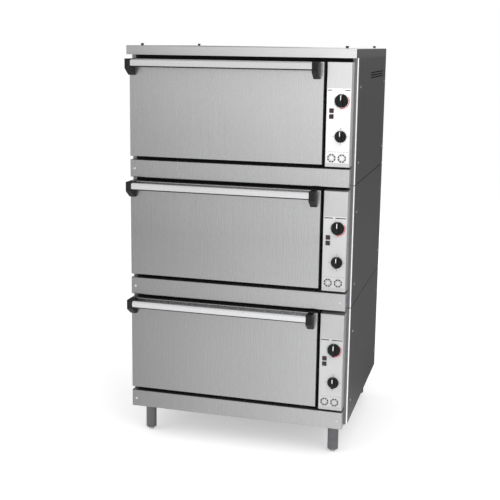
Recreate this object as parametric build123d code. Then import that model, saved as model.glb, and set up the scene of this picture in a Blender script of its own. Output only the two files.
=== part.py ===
"""Three-deck roasting cabinet: three oven modules stacked on one base with four levelled legs.

Frame: X to the right, Y to the back, Z up, in millimetres. The origin is on the floor, under the
middle of the cabinet, so the doors and knobs face -Y.
"""
from build123d import *
import os

# The cabinet as a whole
casing_width = 830.0
body_depth = 704.0
door_depth = 48.0
handle_projection = 48.0
base_height = 122.0
tier_height = 440.0
tier_names = ("lower", "middle", "upper")

# Sheet metal
sheet = 1.5
frame_thickness = 5.0
corner_radius = 4.0
edge_radius = 2.5
seam_height = 3.0
seam_depth = 6.0

# Front layout of one tier, heights counted from the bottom of the tier
side_margin = 12.0
apron_height = 63.0
apron_gap = 13.0
tier_gap = 14.0
panel_width = 85.0
panel_gap = 11.0
panel_strip = 14.0
panel_drop = 6.0

# Oven chamber inside one tier
left_insulation = 59.5
right_insulation = 55.5
floor_insulation = 99.5
roof_insulation = 33.0
rear_insulation = 76.5
divider_gap = 3.0
back_inset = 20.5
wool_clearance = 2.0
wool_thickness = 26.0
wool_setback = 8.0

# Doors
door_gap = 3.0
plug_depth = 10.0
plug_clearance = 8.0
seal_width = 8.0
seal_thickness = 2.6
seal_margin = 1.0
hinge_setback = 10.0
hinge_rise = 10.0
hinge_inset = 18.0
arm_thickness = 5.0
arm_radius = 8.0
arm_clearance = 0.5
arm_foot_width = 24.0
arm_foot_height = 28.0
arm_foot_thickness = 3.0
notch_width = 12.0
pin_radius = 4.0
press_clearance = 0.02
running_clearance = 0.05
pin_tail = 3.0
hub_radius = 8.0
hub_length = 8.0

# Handle bars and their end brackets
bar_height = 27.0
bar_depth = 14.0
bar_wall = 1.5
bar_flat = 0.2
bar_setback = 2.0
bar_drop = 2.0
bar_socket = 6.0
socket_clearance = 0.1
bracket_width = 22.0
bracket_height = 58.0
bracket_nose = 32.0
bracket_toe = 10.0
bracket_rounding = 4.0
bracket_right_inset = 12.0

# Controls
knob_inset = 33.0
thermostat_height = 296.5
thermostat_diameter = 48.0
switch_height = 175.0
switch_diameter = 42.0
knob_skirt = 5.0
knob_gap = 1.0
knob_grip_width = 14.0
knob_grip_depth = 15.0
knob_waist = 6.0
pointer_width = 2.4
pointer_depth = 0.8
pointer_start = 6.0
shaft_radius = 3.0
shaft_reach = 14.0
shaft_hole_clearance = 2.0
thermostat_body_size = 44.0
thermostat_body_depth = 32.0
switch_body_size = 36.0
switch_body_depth = 40.0
lamp_size = 15.0
lamp_barrel = 12.0
lamp_proud = 3.0
lamp_length = 24.0
lamp_hole_clearance = 0.2
lamp_inset = 18.5
lamp_top_height = 263.0
lamp_pitch = 20.0

# Shelves, their runners and the heating elements
runner_levels = 2
runner_first = 84.0
runner_pitch = 100.0
runner_ledge = 14.0
runner_upstand = 20.0
runner_setback = 44.0
runner_end_gap = 30.0
shelf_rod = 6.0
shelf_bend = 14.0
shelf_stay = 5.0
shelf_wire = 3.5
shelf_wire_lift = 1.0
shelf_wire_pitch = 31.0
shelf_side_clearance = 7.0
shelf_lift = 0.4
shelf_setback = 37.0
shelf_back_gap = 68.5
element_radius = 4.0
element_inset = 80.0
element_front = 60.0
element_back_gap = 80.0
element_bend = 55.0
element_tail = 28.0
element_drop = 14.0
element_rise = 18.0
element_hole_clearance = 1.0
terminal_pocket = 24.0

# Top cover and its studs
cover_height = 32.0
stud_radius = 6.0
stud_neck_radius = 4.5
stud_height = 8.0
stud_neck = 4.0
stud_side_inset = 42.0
stud_end_inset = 52.0

# Base plate, legs and levelling feet
base_plate = 3.0
base_plate_inset = 10.0
leg_radius = 20.0
leg_wall = 2.0
leg_flange = 76.0
leg_flange_thickness = 4.0
leg_boss = 16.0
leg_side_inset = 56.0
leg_front_inset = 38.0
leg_rear_inset = 56.0
leg_lift = 12.0
foot_pad_radius = 10.0
foot_pad_height = 5.0
foot_chamfer = 0.8
foot_nut_width = 17.0
foot_nut_gap = 0.4
foot_stud_radius = 6.0
foot_stud_length = 46.0

# Screws
screw_head_radius = 4.5
screw_head_height = 1.5
screw_shank_radius = 2.0
screw_shank_length = 8.0
screw_hole_clearance = 0.1
screw_recess_width = 1.2
screw_recess_length = 5.0
screw_recess_depth = 0.7
side_screw_front = 60.0
side_screw_rear = 40.0
side_screw_low = 76.0
side_screw_high = 340.0
apron_screw_inset = 18.0

# Side vent of the upper tier, back panel vents and cable gland
vent_front = 298.0
vent_rear = 76.0
vent_slots = 3
vent_slot_height = 4.0
vent_pitch = 9.0
vent_drop = 55.0
back_vent_rows = 6
back_vent_length = 70.0
back_vent_height = 4.0
back_vent_pitch = 14.0
back_vent_inset = 62.0
back_vent_bottom = 290.0
gland_inset = 62.0
gland_height = 60.0
gland_bore_radius = 5.0
gland_thread_radius = 8.0
gland_flange_radius = 13.0
gland_flange = 5.0
gland_cap_radius = 10.5
gland_cap = 12.0
gland_nut_radius = 12.0
gland_nut = 4.0

# Places that follow from the sizes above
overall_depth = body_depth + door_depth + handle_projection
front_limit = -overall_depth / 2
door_face = front_limit + handle_projection
body_front = door_face + door_depth
frame_back = body_front + frame_thickness
body_back = overall_depth / 2
back_panel_face = body_back - back_inset
right_side = casing_width / 2
left_side = -right_side
door_left = left_side + side_margin
panel_right = right_side - panel_strip
panel_left = panel_right - panel_width
door_right = panel_left - panel_gap
door_back = body_front - door_gap
divider = panel_left - divider_gap + sheet
cavity_left = left_side + sheet + left_insulation
cavity_right = divider - sheet - right_insulation
cavity_back = back_panel_face - sheet - rear_insulation
cavity_centre = (cavity_left + cavity_right) / 2
cavity_floor = seam_height + sheet + floor_insulation
cavity_ceiling = tier_height - sheet - roof_insulation - sheet
door_bottom = apron_height + apron_gap
door_top = tier_height - tier_gap
hinge_y = door_face + hinge_setback
hinge_height = door_bottom + hinge_rise
knob_x = panel_right - knob_inset
lamp_x = panel_left + lamp_inset
handle_left = door_left
handle_right = door_right - bracket_right_inset
bar_y = front_limit + bar_setback + bar_depth / 2
bar_height_centre = door_top - bar_drop - bar_height / 2
cover_bottom = base_height + tier_height * len(tier_names)
cover_top = cover_bottom + cover_height


def block(x0, x1, y0, y1, z0, z1):
    """A box between two corners."""
    return Pos((x0 + x1) / 2, (y0 + y1) / 2, (z0 + z1) / 2) * Box(x1 - x0, y1 - y0, z1 - z0)


def rod_x(radius, x0, x1, y, z):
    """A round bar along X."""
    return Pos((x0 + x1) / 2, y, z) * Rot(0, 90, 0) * Cylinder(radius, x1 - x0)


def rod_y(radius, y0, y1, x, z):
    """A round bar along Y."""
    return Pos(x, (y0 + y1) / 2, z) * Rot(90, 0, 0) * Cylinder(radius, y1 - y0)


def rod_z(radius, z0, z1, x, y):
    """A round bar along Z."""
    return Pos(x, y, (z0 + z1) / 2) * Cylinder(radius, z1 - z0)


def open_back_pan(x0, x1, y0, y1, z0, z1):
    """A folded sheet tray with its front at y0 and its mouth at y1."""
    body = block(x0, x1, y0, y1, z0, z1)
    body = fillet(body.faces().sort_by(Axis.Y)[0].edges(), edge_radius)
    hollow = block(x0 + sheet, x1 - sheet, y0 + sheet, y1 + sheet, z0 + sheet, z1 - sheet)
    return body - hollow


def save(name, *pieces):
    """Write one node, whatever number of solids it has."""
    solids = [solid for piece in pieces for solid in piece.solids()]
    shape = solids[0] if len(solids) == 1 else Compound(children=solids)
    export_step(shape, f"parts/{name}.step")


def side_screw_places(z0):
    """Y and Z of the screws in one side of a tier."""
    return [
        (y, z0 + height)
        for y in (body_front + side_screw_front, body_back - side_screw_rear)
        for height in (side_screw_low, side_screw_high)
    ]


def apron_screw_places(z0):
    """X and Z of the two screws in an apron."""
    return [
        (x, z0 + apron_height / 2)
        for x in (left_side + side_margin + apron_screw_inset, right_side - side_margin - apron_screw_inset)
    ]


def stile(x0, x1, z0, z1):
    """One flat bar of the front frame, rounded where it ends at the cabinet's side."""
    bar = block(x0, x1, body_front, frame_back, z0, z1)
    outer = [
        edge
        for edge in bar.edges().filter_by(Axis.Z)
        if abs(abs(edge.center().X) - right_side) < sheet / 2 and edge.center().Y < body_front + sheet / 2
    ]
    return fillet(outer, corner_radius) if outer else bar


def front_frame(z0):
    """Flat bars round the oven mouth and round the control box."""
    floor, ceiling = z0 + cavity_floor, z0 + cavity_ceiling
    bottom_rail = stile(left_side, right_side, z0 + seam_height, floor)
    for x in hinge_places():
        bottom_rail -= block(
            x - arm_thickness / 2 - arm_clearance, x + arm_thickness / 2 + arm_clearance,
            body_front - sheet, frame_back + sheet,
            z0 + hinge_height - arm_radius - arm_clearance, z0 + hinge_height + arm_radius + arm_clearance,
        )
    for x, z in apron_screw_places(z0):
        hole = screw_shank_radius + screw_hole_clearance
        bottom_rail -= rod_y(hole, body_front - sheet, frame_back + sheet, x, z)
    top_rail = stile(left_side, right_side, ceiling, z0 + tier_height)
    left_stile = stile(left_side, cavity_left, floor, ceiling)
    middle_stile = stile(cavity_right, panel_left + side_margin, floor, ceiling)
    right_stile = stile(panel_right - side_margin, right_side, floor, ceiling)
    return bottom_rail, top_rail, left_stile, middle_stile, right_stile


def side_panel(z0, outer, inner, vented):
    """One flat side sheet with its screw holes, and a vent where the tier has one."""
    low, high = min(outer, inner), max(outer, inner)
    panel = block(low, high, frame_back, body_back, z0 + seam_height, z0 + tier_height)
    for y, z in side_screw_places(z0):
        panel -= rod_x(screw_shank_radius + screw_hole_clearance, low - sheet, high + sheet, y, z)
    if vented:
        for row in range(vent_slots):
            top = z0 + tier_height - vent_drop - row * vent_pitch
            panel -= block(
                low - sheet, high + sheet, body_front + vent_front, body_back - vent_rear,
                top - vent_slot_height, top,
            )
    return panel


def casing(z0, vented):
    """Outer sheets of one module: sides, floor, roof, divider and the recessed seam strip below."""
    inner_left, inner_right = left_side + sheet, right_side - sheet
    floor, roof = z0 + seam_height, z0 + tier_height
    return (
        side_panel(z0, left_side, inner_left, False),
        side_panel(z0, right_side, inner_right, vented),
        block(inner_left, inner_right, frame_back, body_back, floor, floor + sheet),
        block(inner_left, inner_right, frame_back, body_back, roof - sheet, roof),
        block(divider - sheet, divider, frame_back, back_panel_face - sheet, floor + sheet, roof - sheet),
        block(
            left_side + seam_depth, right_side - seam_depth,
            body_front + seam_depth, body_back - seam_depth, z0, floor,
        ),
    )


def back_panel(z0, with_gland):
    """Flat rear sheet with vents behind the control box, and the cable hole in the lowest one."""
    panel = block(
        left_side + sheet, right_side - sheet, back_panel_face - sheet, back_panel_face,
        z0 + seam_height + sheet, z0 + tier_height - sheet,
    )
    centre = right_side - back_vent_inset
    for row in range(back_vent_rows):
        bottom = z0 + back_vent_bottom + row * back_vent_pitch
        panel -= block(
            centre - back_vent_length / 2, centre + back_vent_length / 2,
            back_panel_face - 2 * sheet, back_panel_face + sheet, bottom, bottom + back_vent_height,
        )
    if with_gland:
        panel -= rod_y(
            gland_thread_radius + screw_hole_clearance, back_panel_face - 2 * sheet, back_panel_face + sheet,
            right_side - gland_inset, z0 + gland_height,
        )
    return panel


def element_offsets():
    """X of the two tails of a heating element, counted from the middle of the oven."""
    reach = (cavity_right - cavity_left) / 2 - element_inset
    return -reach, reach


def element_heights(z0):
    """Heights of the lower and the upper heating element of a tier."""
    return z0 + cavity_floor + element_rise, z0 + cavity_ceiling - element_drop


def oven_chamber(z0):
    """Five sheets of the oven liner, open to the front."""
    floor, ceiling = z0 + cavity_floor, z0 + cavity_ceiling
    front, back = frame_back, cavity_back
    rear = block(cavity_left, cavity_right, back, back + sheet, floor, ceiling)
    for height in element_heights(z0):
        for offset in element_offsets():
            hole = element_radius + element_hole_clearance
            rear -= rod_y(hole, back - sheet, back + 2 * sheet, cavity_centre + offset, height)
    return (
        block(cavity_left - sheet, cavity_left, front, back + sheet, floor - sheet, ceiling + sheet),
        block(cavity_right, cavity_right + sheet, front, back + sheet, floor - sheet, ceiling + sheet),
        block(cavity_left, cavity_right, front, back + sheet, floor - sheet, floor),
        block(cavity_left, cavity_right, front, back + sheet, ceiling, ceiling + sheet),
        rear,
    )


def insulation(z0):
    """Mineral wool blanket round the oven liner, with pockets for the element tails."""
    gap = sheet + wool_clearance
    reach = gap + wool_thickness
    floor, ceiling = z0 + cavity_floor, z0 + cavity_ceiling
    wool = block(
        cavity_left - reach, cavity_right + reach, frame_back + wool_setback, cavity_back + reach,
        floor - reach, ceiling + reach,
    )
    wool -= block(
        cavity_left - gap, cavity_right + gap, frame_back, cavity_back + gap, floor - gap, ceiling + gap,
    )
    half = terminal_pocket / 2
    for height in element_heights(z0):
        for offset in element_offsets():
            x = cavity_centre + offset
            wool -= block(x - half, x + half, cavity_back, back_panel_face, height - half, height + half)
    return wool


def heating_element(height):
    """One tubular element, bent into three hairpins in a level plane."""
    outer_left, outer_right = element_offsets()
    third = (outer_right - outer_left) / 3
    columns = [cavity_centre + outer_left + third * step for step in range(4)]
    front = frame_back + element_front
    rear = cavity_back - element_back_gap
    tail = cavity_back + element_tail
    route = [
        (columns[0], tail, height), (columns[0], front, height), (columns[1], front, height),
        (columns[1], rear, height), (columns[2], rear, height), (columns[2], front, height),
        (columns[3], front, height), (columns[3], tail, height),
    ]
    path = FilletPolyline(*route, radius=element_bend)
    section = Plane(origin=route[0], z_dir=(0, -1, 0)) * Circle(element_radius)
    return sweep(section, path=path)


def runner(wall, inward, height):
    """An angle strip on an oven wall, with its ledge at the given height."""
    y0, y1 = frame_back + runner_setback, cavity_back - runner_end_gap
    ledge_end = wall + inward * runner_ledge
    skin = wall + inward * sheet
    ledge = block(min(wall, ledge_end), max(wall, ledge_end), y0, y1, height - sheet, height)
    upstand = block(min(wall, skin), max(wall, skin), y0, y1, height - runner_upstand, height)
    return ledge + upstand


def shelf_runners(z0):
    """The runner strips on both walls of one oven."""
    heights = [z0 + cavity_floor + runner_first + runner_pitch * level for level in range(runner_levels)]
    return [
        runner(wall, inward, height)
        for height in heights
        for wall, inward in ((cavity_left, 1), (cavity_right, -1))
    ]


def wire_shelf(z0):
    """A welded wire shelf that slides on the lower runners."""
    radius = shelf_rod / 2
    z = z0 + cavity_floor + runner_first + shelf_lift + radius
    x0 = cavity_left + shelf_side_clearance + radius
    x1 = cavity_right - shelf_side_clearance - radius
    y0 = body_front + shelf_setback + radius
    y1 = cavity_back - shelf_back_gap - radius
    middle = (x0 + x1) / 2
    outline = Pos(middle, (y0 + y1) / 2, z) * RectangleRounded(x1 - x0, y1 - y0, shelf_bend)
    path = outline.wire()
    shelf = sweep(Plane(origin=path @ 0, z_dir=path % 0) * Circle(radius), path=path)
    shelf += rod_x(shelf_stay / 2, x0, x1, (y0 + y1) / 2, z)
    count = int((x1 - x0 - 2 * shelf_bend) / shelf_wire_pitch) + 1
    start = middle - (count - 1) * shelf_wire_pitch / 2
    wire_z = z + shelf_wire_lift
    columns = [start + index * shelf_wire_pitch for index in range(count)]
    return shelf + [rod_y(shelf_wire / 2, y0, y1, x, wire_z) for x in columns]


def apron(z0):
    """Folded front band below the door, with a hole for the screw at each end."""
    band = open_back_pan(
        left_side + side_margin, right_side - side_margin, door_face, body_front, z0, z0 + apron_height,
    )
    hole = screw_shank_radius + screw_hole_clearance
    for x, z in apron_screw_places(z0):
        band -= rod_y(hole, door_face - sheet, door_face + 2 * sheet, x, z)
    return band


def knob_places(z0):
    """X and Z of the thermostat knob and the switch knob of a tier."""
    return (knob_x, z0 + thermostat_height), (knob_x, z0 + switch_height)


def lamp_places(z0):
    """X and Z of the two lamps of a tier."""
    return [(lamp_x, z0 + lamp_top_height - lamp_pitch * index) for index in range(2)]


def control_panel(z0):
    """Folded box in front of the control side, with holes for the shafts and lamps."""
    panel = open_back_pan(
        panel_left, panel_right, door_face, body_front, z0 + door_bottom - panel_drop, z0 + door_top,
    )
    for x, z in knob_places(z0):
        panel -= rod_y(shaft_radius + shaft_hole_clearance, door_face - sheet, door_face + 2 * sheet, x, z)
    half = lamp_barrel / 2 + lamp_hole_clearance
    for x, z in lamp_places(z0):
        panel -= block(x - half, x + half, door_face - sheet, door_face + 2 * sheet, z - half, z + half)
    return panel


def pilot_lamp(x, z):
    """Square lamp: a bezel on the panel with its barrel behind."""
    half = lamp_size / 2
    bezel = block(x - half, x + half, door_face - lamp_proud, door_face, z - half, z + half)
    bezel = chamfer(bezel.faces().sort_by(Axis.Y)[0].edges(), lamp_proud / 3)
    half = lamp_barrel / 2
    barrel_end = door_face - lamp_proud + lamp_length
    return bezel + block(x - half, x + half, door_face, barrel_end, z - half, z + half)


def control_body(x, z, size, depth):
    """Thermostat or switch body behind the panel, bored for the knob's shaft."""
    back_of_panel = door_face + sheet
    body = block(x - size / 2, x + size / 2, back_of_panel, back_of_panel + depth, z - size / 2, z + size / 2)
    body = chamfer(body.edges().filter_by(Axis.Y), sheet)
    bore_end = door_face + shaft_reach + knob_gap
    return body - rod_y(shaft_radius + running_clearance, back_of_panel - sheet, bore_end, x, z)


def knob(x, z, diameter):
    """Turning knob: a skirt, a bar grip with a pointer line, and the shaft behind."""
    back = door_face - knob_gap
    skirt_front = back - knob_skirt
    grip_front = skirt_front - knob_grip_depth
    skirt = rod_y(diameter / 2, skirt_front, back, x, z)
    skirt = chamfer(skirt.edges().sort_by(Axis.Y)[0], pointer_width / 2)
    core = rod_y(diameter / 2 - knob_waist, skirt_front - knob_waist, skirt_front, x, z)
    grip = block(
        x - knob_grip_width / 2, x + knob_grip_width / 2, grip_front, skirt_front,
        z - diameter / 2, z + diameter / 2,
    )
    grip = grip & rod_y(diameter / 2 - pointer_depth, grip_front, skirt_front, x, z)
    grip = chamfer(grip.faces().sort_by(Axis.Y)[0].edges(), pointer_depth)
    line = block(
        x - pointer_width / 2, x + pointer_width / 2, grip_front, grip_front + pointer_depth,
        z + pointer_start, z + diameter / 2,
    )
    shaft = rod_y(shaft_radius, back, door_face + shaft_reach, x, z)
    return skirt + core + grip - line + shaft


def hinge_places():
    """X of the two hinge arms of a door."""
    return door_left + hinge_inset, door_right - hinge_inset


def door_skin(z0):
    """Outer tray of the door, with a hub and a pin hole at each lower end and notches for the arms."""
    skin = open_back_pan(door_left, door_right, door_face, door_back - sheet, z0 + door_bottom, z0 + door_top)
    z = z0 + hinge_height
    inner_face = door_face + sheet
    for x, end, inward in zip(hinge_places(), (door_left, door_right), (1, -1)):
        hub_start = end + inward * sheet
        hub_end = hub_start + inward * hub_length
        skin += rod_x(hub_radius, min(hub_start, hub_end), max(hub_start, hub_end), hinge_y, z)
        hole_end = end - inward * sheet
        skin -= rod_x(
            pin_radius + running_clearance, min(hole_end, hub_end + inward), max(hole_end, hub_end + inward),
            hinge_y, z,
        )
        skin -= block(
            x - notch_width / 2, x + notch_width / 2, inner_face, door_back,
            z0 + door_bottom - sheet, z0 + door_bottom + 2 * sheet,
        )
    return skin


def door_liner(z0):
    """Inner sheet of the door, with a hollow plug that enters the oven mouth."""
    sheet_face = door_back - sheet
    liner = block(door_left, door_right, sheet_face, door_back, z0 + door_bottom, z0 + door_top)
    x0, x1 = cavity_left + plug_clearance, cavity_right - plug_clearance
    low, high = z0 + cavity_floor + plug_clearance, z0 + cavity_ceiling - plug_clearance
    plug = block(x0, x1, door_back, door_back + plug_depth, low, high)
    plug = fillet(plug.edges().filter_by(Axis.Y), corner_radius)
    plug = fillet(plug.faces().sort_by(Axis.Y)[-1].edges(), edge_radius)
    hollow = block(
        x0 + sheet, x1 - sheet, sheet_face - sheet, door_back + plug_depth - sheet, low + sheet, high - sheet,
    )
    hollow = fillet(hollow.edges().filter_by(Axis.Y), corner_radius - sheet)
    liner = liner + plug - hollow
    for x in hinge_places():
        liner -= block(
            x - notch_width / 2, x + notch_width / 2, sheet_face - sheet, door_back + sheet,
            z0 + door_bottom - sheet, z0 + hinge_height + arm_radius + 2 * sheet,
        )
    return liner


def hinge_arm(x, z0):
    """Arm that reaches forward from behind the frame to carry the hinge pin."""
    z = z0 + hinge_height
    x0, x1 = x - arm_thickness / 2, x + arm_thickness / 2
    arm = block(x0, x1, hinge_y, frame_back, z - arm_radius, z + arm_radius)
    arm += rod_x(arm_radius, x0, x1, hinge_y, z)
    arm += block(
        x - arm_foot_width / 2, x + arm_foot_width / 2, frame_back, frame_back + arm_foot_thickness,
        z - arm_foot_height / 2, z + arm_foot_height / 2,
    )
    return arm - rod_x(pin_radius + press_clearance, x0 - sheet, x1 + sheet, hinge_y, z)


def hinge_pin(x, end, inward, z0):
    """Pin pressed into the arm, reaching out to the door's end."""
    tail = x + inward * (arm_thickness / 2 + pin_tail)
    head = end + inward * press_clearance
    return rod_x(pin_radius, min(head, tail), max(head, tail), hinge_y, z0 + hinge_height)


def door_seal(z0):
    """Four seal strips on the frame, round the oven mouth."""
    y0, y1 = body_front - seal_thickness, body_front
    x0, x1 = cavity_left - seal_margin, cavity_right + seal_margin
    low, high = z0 + cavity_floor - seal_margin, z0 + cavity_ceiling + seal_margin
    return (
        block(x0 - seal_width, x0, y0, y1, low, high),
        block(x1, x1 + seal_width, y0, y1, low, high),
        block(x0 - seal_width, x1 + seal_width, y0, y1, low - seal_width, low),
        block(x0 - seal_width, x1 + seal_width, y0, y1, high, high + seal_width),
    )


def bar_section(grow):
    """Outline of the handle bar, grown by the given amount."""
    height, depth = bar_height + 2 * grow, bar_depth + 2 * grow
    return RectangleRounded(depth, height, depth / 2 - bar_flat)


def bar_solid(x0, x1, z0, grow):
    """The handle bar's outline carried from x0 to x1."""
    plane = Plane(origin=(x0, bar_y, z0 + bar_height_centre), x_dir=(0, 1, 0), z_dir=(1, 0, 0))
    return extrude(plane * bar_section(grow), x1 - x0)


def handle_bar(z0):
    """Hollow oval bar, let into a bracket at each end."""
    x0 = handle_left + bracket_width - bar_socket
    x1 = handle_right - bracket_width + bar_socket
    return bar_solid(x0, x1, z0, 0) - bar_solid(x0 - sheet, x1 + sheet, z0, -bar_wall)


def handle_brackets(z0):
    """The two end brackets, tapering back to the door below the bar."""
    top = z0 + door_top
    profile = Polyline(
        (door_face, top), (front_limit, top), (front_limit, top - bracket_nose),
        (door_face - bracket_toe, top - bracket_height), (door_face, top - bracket_height), close=True,
    )
    side = make_face(Plane(origin=(0, 0, 0), x_dir=(0, 1, 0), z_dir=(1, 0, 0)) * profile)
    pieces = []
    for x0, inward in ((handle_left, 1), (handle_right - bracket_width, -1)):
        bracket = Pos(x0, 0, 0) * extrude(side, bracket_width)
        front = [edge for edge in bracket.edges() if edge.center().Y < front_limit + sheet]
        bracket = fillet(front, bracket_rounding)
        socket_start = x0 + bracket_width - bar_socket if inward > 0 else x0 - sheet
        socket_end = x0 + bracket_width + sheet if inward > 0 else x0 + bar_socket
        pieces.append(bracket - bar_solid(socket_start, socket_end, z0, socket_clearance))
    return pieces


def screw(x, y, z, plane):
    """Cross-head screw with its shank pointing into the sheet."""
    head = Cylinder(screw_head_radius, screw_head_height, align=(Align.CENTER, Align.CENTER, Align.MIN))
    head = fillet(head.edges().sort_by(Axis.Z)[-1], screw_head_height / 2)
    recess = Pos(0, 0, screw_head_height) * Box(screw_recess_length, screw_recess_width, 2 * screw_recess_depth)
    head -= recess + Rot(0, 0, 90) * recess
    shank = Cylinder(screw_shank_radius, screw_shank_length, align=(Align.CENTER, Align.CENTER, Align.MAX))
    return Plane(origin=(x, y, z), z_dir=plane) * (head + shank)


def panel_screws(z0):
    """Screws of one tier: both sides and the apron."""
    sides = [screw(right_side, y, z, (1, 0, 0)) for y, z in side_screw_places(z0)]
    sides += [screw(left_side, y, z, (-1, 0, 0)) for y, z in side_screw_places(z0)]
    return sides + [screw(x, door_face, z, (0, -1, 0)) for x, z in apron_screw_places(z0)]


def top_cover():
    """Folded top tray with a soffit under its front overhang."""
    cover = block(left_side, right_side, door_face, body_back, cover_bottom, cover_top)
    top_edges = cover.faces().sort_by(Axis.Z)[-1].edges()
    front_corners = [edge for edge in cover.edges().filter_by(Axis.Z) if edge.center().Y < 0]
    cover = fillet(list(top_edges) + front_corners, edge_radius)
    cover -= block(
        left_side + sheet, right_side - sheet, door_face + sheet, body_back - sheet,
        cover_bottom - sheet, cover_top - sheet,
    )
    return cover + block(
        left_side + sheet, right_side - sheet, door_face + sheet, body_front,
        cover_bottom, cover_bottom + sheet,
    )


def cover_stud(x, y):
    """Waisted stud on the cover."""
    neck = rod_z(stud_neck_radius, cover_top, cover_top + stud_neck, x, y)
    head = rod_z(stud_radius, cover_top + stud_neck, cover_top + stud_height, x, y)
    return neck + fillet(head.edges().sort_by(Axis.Z)[-1], sheet)


def leg_places():
    """X and Y of the four legs, by name."""
    left, right = left_side + leg_side_inset, right_side - leg_side_inset
    front, rear = body_front + leg_front_inset, body_back - leg_rear_inset
    return {
        "front_left": (left, front), "front_right": (right, front),
        "rear_left": (left, rear), "rear_right": (right, rear),
    }


def leg(x, y):
    """Round leg tube with a flange above and a threaded boss below."""
    top = base_height - base_plate
    tube = rod_z(leg_radius, leg_lift, top, x, y)
    tube -= rod_z(leg_radius - leg_wall, leg_lift + leg_boss, top + leg_wall, x, y)
    half = leg_flange / 2
    flange = block(x - half, x + half, y - half, y + half, top - leg_flange_thickness, top)
    flange -= rod_z(leg_radius - leg_wall, top - 2 * leg_flange_thickness, top + leg_wall, x, y)
    bore = rod_z(foot_stud_radius + running_clearance, leg_lift - sheet, leg_lift + leg_boss + sheet, x, y)
    return tube + flange - bore


def levelling_foot(x, y):
    """Foot that screws into a leg: pad, hexagon and stud."""
    pad = rod_z(foot_pad_radius, 0, foot_pad_height, x, y)
    pad = chamfer(pad.edges().sort_by(Axis.Z)[0], foot_chamfer)
    nut_top = leg_lift - foot_nut_gap
    nut_sketch = RegularPolygon(foot_nut_width / 2, 6, major_radius=False)
    nut = extrude(Pos(x, y, foot_pad_height) * nut_sketch, nut_top - foot_pad_height)
    return pad + nut + rod_z(foot_stud_radius, nut_top, nut_top + foot_stud_length, x, y)


def cable_gland():
    """Cable inlet through the lowest back panel: cap, flange, thread and locknut, bored through."""
    x, z = right_side - gland_inset, base_height + gland_height
    inner = back_panel_face - sheet
    flange = extrude(
        Plane(origin=(x, back_panel_face, z), z_dir=(0, 1, 0)) * RegularPolygon(gland_flange_radius, 6),
        gland_flange,
    )
    cap_start = back_panel_face + gland_flange
    cap = rod_y(gland_cap_radius, cap_start, cap_start + gland_cap, x, z)
    cap = fillet(cap.edges().sort_by(Axis.Y)[-1], edge_radius)
    thread = rod_y(gland_thread_radius, inner - gland_nut - sheet, back_panel_face, x, z)
    nut = rod_y(gland_nut_radius, inner - gland_nut, inner, x, z)
    bore = rod_y(gland_bore_radius, inner - gland_nut - 2 * sheet, cap_start + gland_cap + sheet, x, z)
    return flange + cap + thread + nut - bore


def base_plate_sheet():
    """Flat plate between the lowest module and the legs."""
    inset = base_plate_inset
    return block(
        left_side + inset, right_side - inset, body_front + inset, body_back - inset,
        base_height - base_plate, base_height,
    )


def build_tier(index, name):
    """Write the nodes that one tier has of its own."""
    z0 = base_height + index * tier_height
    lowest, highest = index == 0, index == len(tier_names) - 1
    save(f"casing_{name}", *casing(z0, highest))
    save(f"front_frame_{name}", *front_frame(z0))
    save(f"back_panel_{name}", back_panel(z0, lowest))
    save(f"oven_chamber_{name}", *oven_chamber(z0))
    save(f"heating_elements_{name}", *[heating_element(height) for height in element_heights(z0)])
    save(f"wire_shelf_{name}", wire_shelf(z0))
    save(f"apron_{name}", apron(z0))
    save(f"control_panel_{name}", control_panel(z0))
    thermostat, switch = knob_places(z0)
    save(f"thermostat_knob_{name}", knob(*thermostat, thermostat_diameter))
    save(f"switch_knob_{name}", knob(*switch, switch_diameter))
    save(f"door_skin_{name}", door_skin(z0))
    save(f"door_liner_{name}", door_liner(z0))
    save(f"handle_bar_{name}", handle_bar(z0))
    save(f"handle_brackets_{name}", *handle_brackets(z0))


def build_shared():
    """Write the nodes that the tiers share, identical pieces together."""
    bases = [base_height + index * tier_height for index in range(len(tier_names))]
    ends = list(zip(hinge_places(), (door_left, door_right), (1, -1)))
    save("insulation", *[insulation(z0) for z0 in bases])
    save("shelf_runners", *[strip for z0 in bases for strip in shelf_runners(z0)])
    save("door_seals", *[strip for z0 in bases for strip in door_seal(z0)])
    save("hinge_arms", *[hinge_arm(x, z0) for z0 in bases for x in hinge_places()])
    save("hinge_pins", *[hinge_pin(x, end, inward, z0) for z0 in bases for x, end, inward in ends])
    save("pilot_lamps", *[pilot_lamp(x, z) for z0 in bases for x, z in lamp_places(z0)])
    thermostats = [knob_places(z0)[0] for z0 in bases]
    switches = [knob_places(z0)[1] for z0 in bases]
    save(
        "thermostats",
        *[control_body(x, z, thermostat_body_size, thermostat_body_depth) for x, z in thermostats],
    )
    save("mode_switches", *[control_body(x, z, switch_body_size, switch_body_depth) for x, z in switches])
    save("panel_screws", *[piece for z0 in bases for piece in panel_screws(z0)])
    save("cable_gland", cable_gland())
    save("top_cover", top_cover())
    stud_x = right_side - stud_side_inset
    stud_ys = (door_face + stud_end_inset, body_back - stud_end_inset)
    save("cover_studs", *[cover_stud(x, y) for x in (-stud_x, stud_x) for y in stud_ys])
    save("base_plate", base_plate_sheet())
    save("legs", *[leg(x, y) for x, y in leg_places().values()])
    for place, (x, y) in leg_places().items():
        save(f"levelling_foot_{place}", levelling_foot(x, y))


os.makedirs("parts", exist_ok=True)
for tier_index, tier_name in enumerate(tier_names):
    build_tier(tier_index, tier_name)
build_shared()
print("hinge axis height in a tier", hinge_height, "and depth", hinge_y)
print("oven inside", cavity_left, cavity_right, cavity_back, cavity_floor, cavity_ceiling)
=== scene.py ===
"""Looks of the three-deck roasting cabinet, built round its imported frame.

Everything is in metres, in the frame's own axes: X to the right, -Y to the front, Z up from the floor.
"""
import logging
import math
from dataclasses import dataclass, field
from enum import Enum
from typing import Callable, Iterable, Sequence

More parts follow.
